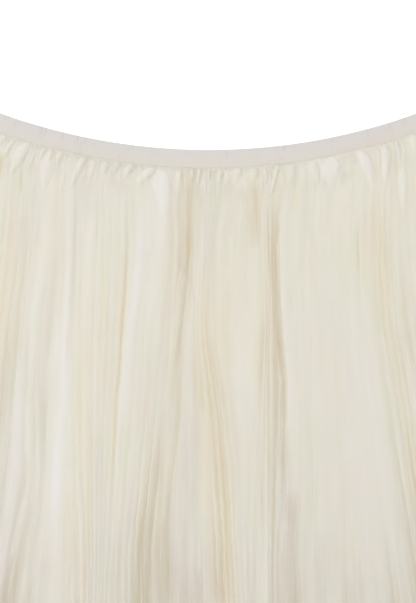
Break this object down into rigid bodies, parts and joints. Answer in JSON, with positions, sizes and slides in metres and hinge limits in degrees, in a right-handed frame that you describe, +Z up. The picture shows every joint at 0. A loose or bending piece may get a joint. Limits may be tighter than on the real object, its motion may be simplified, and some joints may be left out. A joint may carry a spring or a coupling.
{
  "type": "pleated maxi skirt",
  "caption": "Long accordion-pleated skirt with an exposed elastic waistband, laid flat face up, its front and back panels lying on each other.",
  "frame": {"origin": "middle of the laid skirt's box, on the surface it lies on", "axes": "+Y from hem to waist, +Z up out of the skirt's front, +X to the viewer's right seen from above"},
  "size_m": [0.752, 0.9982, 0.0173],
  "materials": {
    "elastic": "matt, finely ribbed across its width",
    "cloth": "sheer pleated crepe with a faint sheen",
    "cloth_behind": "sheer pleated crepe with a faint sheen"
  },
  "bodies": {
    "root": {"waistband": "elastic", "panel_front": "cloth", "panel_back": "cloth_behind"}
  },
  "joints": []
}
